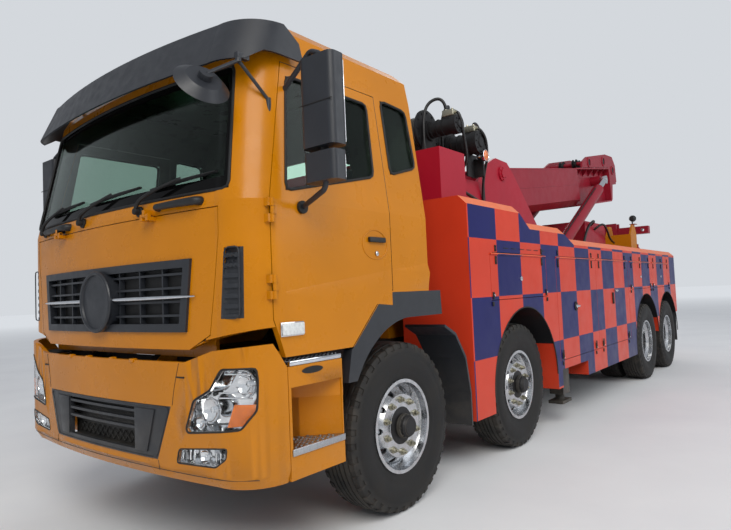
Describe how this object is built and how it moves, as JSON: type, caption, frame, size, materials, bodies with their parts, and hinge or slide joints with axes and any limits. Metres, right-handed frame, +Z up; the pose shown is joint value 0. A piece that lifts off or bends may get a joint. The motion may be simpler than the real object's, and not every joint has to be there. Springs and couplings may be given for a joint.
{
  "type": "tow truck",
  "caption": "Heavy tow truck with a flat-fronted forward cab, checkered side lockers, a telescopic boom on a mast and a folding underlift at the tail.",
  "frame": {"origin": "on the ground, midway along the length and the width", "axes": "+Z up, the cab faces -Y, +X is the vehicle's left side"},
  "size_m": [3.18, 10.7299, 3.7476],
  "materials": {
    "cab_paint": "gloss ochre yellow",
    "body_paint": "gloss orange red with navy squares",
    "lift_paint": "gloss deep red",
    "deck_paint": "gloss yellow",
    "frame_paint": "satin black",
    "cast_parts": "satin black",
    "rod_chrome": "polished",
    "rim_metal": "polished",
    "tyre_rubber": "matte",
    "dark_plastic": "slate grey",
    "inner_plastic": "textured grey",
    "lamp_lens": "clear lens",
    "window_glass": "tinted glass",
    "seat_fabric": "woven dark grey"
  },
  "bodies": {
    "chassis": {"chassis_frame": "frame_paint", "engine_block": "cast_parts", "front_axles": "cast_parts", "rear_axles": "cast_parts", "bumper": "cab_paint", "bumper_grille": "dark_plastic", "lamps": "lamp_lens", "mudguards": "dark_plastic", "side_bodies": "body_paint", "mast": "lift_paint", "winches": "cast_parts", "deck_frame": "deck_paint"},
    "cab": {"cab_shell": "cab_paint", "cab_glass": "window_glass", "cab_trim": "dark_plastic", "sun_visor": "dark_plastic", "cab_interior": "inner_plastic", "seats": "seat_fabric"},
    "cab_door_left": {"door_left": "cab_paint", "door_glass_left": "window_glass", "mirror_left": "dark_plastic"},
    "cab_door_right": {"door_right": "cab_paint", "door_glass_right": "window_glass", "mirror_right": "dark_plastic"},
    "front_lid": {"front_lid": "cab_paint", "grille": "dark_plastic"},
    "steering_wheel": {"steering_wheel": "dark_plastic"},
    "boom": {"boom_outer": "lift_paint"},
    "boom_extension": {"boom_inner": "lift_paint"},
    "cylinder_barrels": {"cylinder_barrels": "lift_paint"},
    "cylinder_rods": {"cylinder_rods": "rod_chrome"},
    "underlift": {"underlift_arm": "lift_paint"},
    "underlift_extension": {"underlift_extension": "lift_paint"},
    "cross_bar": {"cross_bar": "lift_paint"},
    "leg_left": {"leg_left": "frame_paint"},
    "leg_right": {"leg_right": "frame_paint"},
    "locker_lids_left": {"locker_lids_left": "body_paint"},
    "locker_lids_right": {"locker_lids_right": "body_paint"},
    "locker_doors_left": {"locker_doors_left": "body_paint"},
    "locker_doors_right": {"locker_doors_right": "body_paint"},
    "knuckle_1_left": {"knuckle_1_left": "cast_parts"},
    "wheel_1_left": {"tyre_1_left": "tyre_rubber", "rim_1_left": "rim_metal"},
    "knuckle_1_right": {"knuckle_1_right": "cast_parts"},
    "wheel_1_right": {"tyre_1_right": "tyre_rubber", "rim_1_right": "rim_metal"},
    "knuckle_2_left": {"knuckle_2_left": "cast_parts"},
    "wheel_2_left": {"tyre_2_left": "tyre_rubber", "rim_2_left": "rim_metal"},
    "knuckle_2_right": {"knuckle_2_right": "cast_parts"},
    "wheel_2_right": {"tyre_2_right": "tyre_rubber", "rim_2_right": "rim_metal"},
    "wheel_3_left": {"tyre_3_left": "tyre_rubber", "rim_3_left": "rim_metal"},
    "wheel_3_right": {"tyre_3_right": "tyre_rubber", "rim_3_right": "rim_metal"},
    "wheel_4_left": {"tyre_4_left": "tyre_rubber", "rim_4_left": "rim_metal"},
    "wheel_4_right": {"tyre_4_right": "tyre_rubber", "rim_4_right": "rim_metal"}
  },
  "joints": [
    {"name": "steer_1_left", "type": "hinge", "parent": "chassis", "child": "knuckle_1_left", "pos_m": [0.855, -3.805, 0.5425], "axis": [0, 0, 1], "range_deg": [-34, 34]},
    {"name": "wheel_1_left_spin", "type": "hinge", "parent": "knuckle_1_left", "child": "wheel_1_left", "pos_m": [1.025, -3.805, 0.5425], "axis": [1, 0, 0], "continuous": true},
    {"name": "steer_1_right", "type": "hinge", "parent": "chassis", "child": "knuckle_1_right", "pos_m": [-0.855, -3.805, 0.5425], "axis": [0, 0, 1], "range_deg": [-34, 34]},
    {"name": "wheel_1_right_spin", "type": "hinge", "parent": "knuckle_1_right", "child": "wheel_1_right", "pos_m": [-1.025, -3.805, 0.5425], "axis": [1, 0, 0], "continuous": true},
    {"name": "steer_2_left", "type": "hinge", "parent": "chassis", "child": "knuckle_2_left", "pos_m": [0.855, -2.005, 0.5425], "axis": [0, 0, 1], "range_deg": [-24, 24]},
    {"name": "wheel_2_left_spin", "type": "hinge", "parent": "knuckle_2_left", "child": "wheel_2_left", "pos_m": [1.025, -2.005, 0.5425], "axis": [1, 0, 0], "continuous": true},
    {"name": "steer_2_right", "type": "hinge", "parent": "chassis", "child": "knuckle_2_right", "pos_m": [-0.855, -2.005, 0.5425], "axis": [0, 0, 1], "range_deg": [-24, 24]},
    {"name": "wheel_2_right_spin", "type": "hinge", "parent": "knuckle_2_right", "child": "wheel_2_right", "pos_m": [-1.025, -2.005, 0.5425], "axis": [1, 0, 0], "continuous": true},
    {"name": "wheel_3_left_spin", "type": "hinge", "parent": "chassis", "child": "wheel_3_left", "pos_m": [1, 2.295, 0.5425], "axis": [1, 0, 0], "continuous": true},
    {"name": "wheel_3_right_spin", "type": "hinge", "parent": "chassis", "child": "wheel_3_right", "pos_m": [-1, 2.295, 0.5425], "axis": [1, 0, 0], "continuous": true},
    {"name": "wheel_4_left_spin", "type": "hinge", "parent": "chassis", "child": "wheel_4_left", "pos_m": [1, 3.645, 0.5425], "axis": [1, 0, 0], "continuous": true},
    {"name": "wheel_4_right_spin", "type": "hinge", "parent": "chassis", "child": "wheel_4_right", "pos_m": [-1, 3.645, 0.5425], "axis": [1, 0, 0], "continuous": true},
    {"name": "steering_wheel_turn", "type": "hinge", "parent": "cab", "child": "steering_wheel", "pos_m": [-0.56, -4.595, 1.95], "axis": [0, 0.5, 0.866], "range_deg": [-410, 410]},
    {"name": "cab_tilt", "type": "hinge", "parent": "chassis", "child": "cab", "pos_m": [0, -5.15, 1.01], "axis": [1, 0, 0], "range_deg": [0, 50]},
    {"name": "cab_door_left_open", "type": "hinge", "parent": "cab", "child": "cab_door_left", "pos_m": [1.25, -4.9725, 1.9], "axis": [0, 0, -1], "range_deg": [0, 70]},
    {"name": "cab_door_right_open", "type": "hinge", "parent": "cab", "child": "cab_door_right", "pos_m": [-1.25, -4.9725, 1.9], "axis": [0, 0, 1], "range_deg": [0, 70]},
    {"name": "front_lid_open", "type": "hinge", "parent": "cab", "child": "front_lid", "pos_m": [0, -5.22, 1.875], "axis": [-1, 0, 0], "range_deg": [0, 70]},
    {"name": "locker_lids_left_open", "type": "hinge", "parent": "chassis", "child": "locker_lids_left", "pos_m": [1.252, 0.595, 1.684], "axis": [0, -1, 0], "range_deg": [0, 95]},
    {"name": "locker_doors_left_open", "type": "hinge", "parent": "chassis", "child": "locker_doors_left", "pos_m": [1.252, 0.095, 1.684], "axis": [0, -1, 0], "range_deg": [0, 95]},
    {"name": "leg_left_lower", "type": "slide", "parent": "chassis", "child": "leg_left", "axis": [0, 0, -1], "range_m": [0, 0.2]},
    {"name": "locker_lids_right_open", "type": "hinge", "parent": "chassis", "child": "locker_lids_right", "pos_m": [-1.252, 0.595, 1.684], "axis": [0, 1, 0], "range_deg": [0, 95]},
    {"name": "locker_doors_right_open", "type": "hinge", "parent": "chassis", "child": "locker_doors_right", "pos_m": [-1.252, 0.095, 1.684], "axis": [0, 1, 0], "range_deg": [0, 95]},
    {"name": "leg_right_lower", "type": "slide", "parent": "chassis", "child": "leg_right", "axis": [0, 0, -1], "range_m": [0, 0.2]},
    {"name": "boom_raise", "type": "hinge", "parent": "chassis", "child": "boom", "pos_m": [0, -0.705, 2.72], "axis": [1, 0, 0], "range_deg": [-4, 40]},
    {"name": "boom_extend", "type": "slide", "parent": "boom", "child": "boom_extension", "axis": [0, 0.9903, 0.1392], "range_m": [0, 1.8]},
    {"name": "cylinder_swing", "type": "hinge", "parent": "chassis", "child": "cylinder_barrels", "pos_m": [0, 0.695, 1.7], "axis": [1, 0, 0], "range_deg": [-5, 43]},
    {"name": "cylinder_stroke", "type": "slide", "parent": "cylinder_barrels", "child": "cylinder_rods", "axis": [0, 0.8768, 0.4809], "range_m": [-0.12, 1.17]},
    {"name": "underlift_fold", "type": "hinge", "parent": "chassis", "child": "underlift", "pos_m": [0, 5.205, 0.6], "axis": [-1, 0, 0], "range_deg": [0, 95]},
    {"name": "underlift_extend", "type": "slide", "parent": "underlift", "child": "underlift_extension", "axis": [0, 0, 1], "range_m": [0, 0.8]},
    {"name": "cross_bar_swivel", "type": "hinge", "parent": "underlift_extension", "child": "cross_bar", "pos_m": [0, 5.22, 2.402], "axis": [0, 1, 0], "range_deg": [-20, 20]}
  ],
  "couplings": [
    {"joint": "steer_1_right", "follows": "steer_1_left", "ratio": 1},
    {"joint": "steer_2_left", "follows": "steer_1_left", "ratio": 0.7},
    {"joint": "steer_2_right", "follows": "steer_1_left", "ratio": 0.7},
    {"joint": "steering_wheel_turn", "follows": "steer_1_left", "ratio": 12},
    {"joint": "cylinder_swing", "follows": "boom_raise", "ratio": 1.06},
    {"joint": "cylinder_stroke", "follows": "boom_raise", "m_per_rad": 1.66}
  ]
}
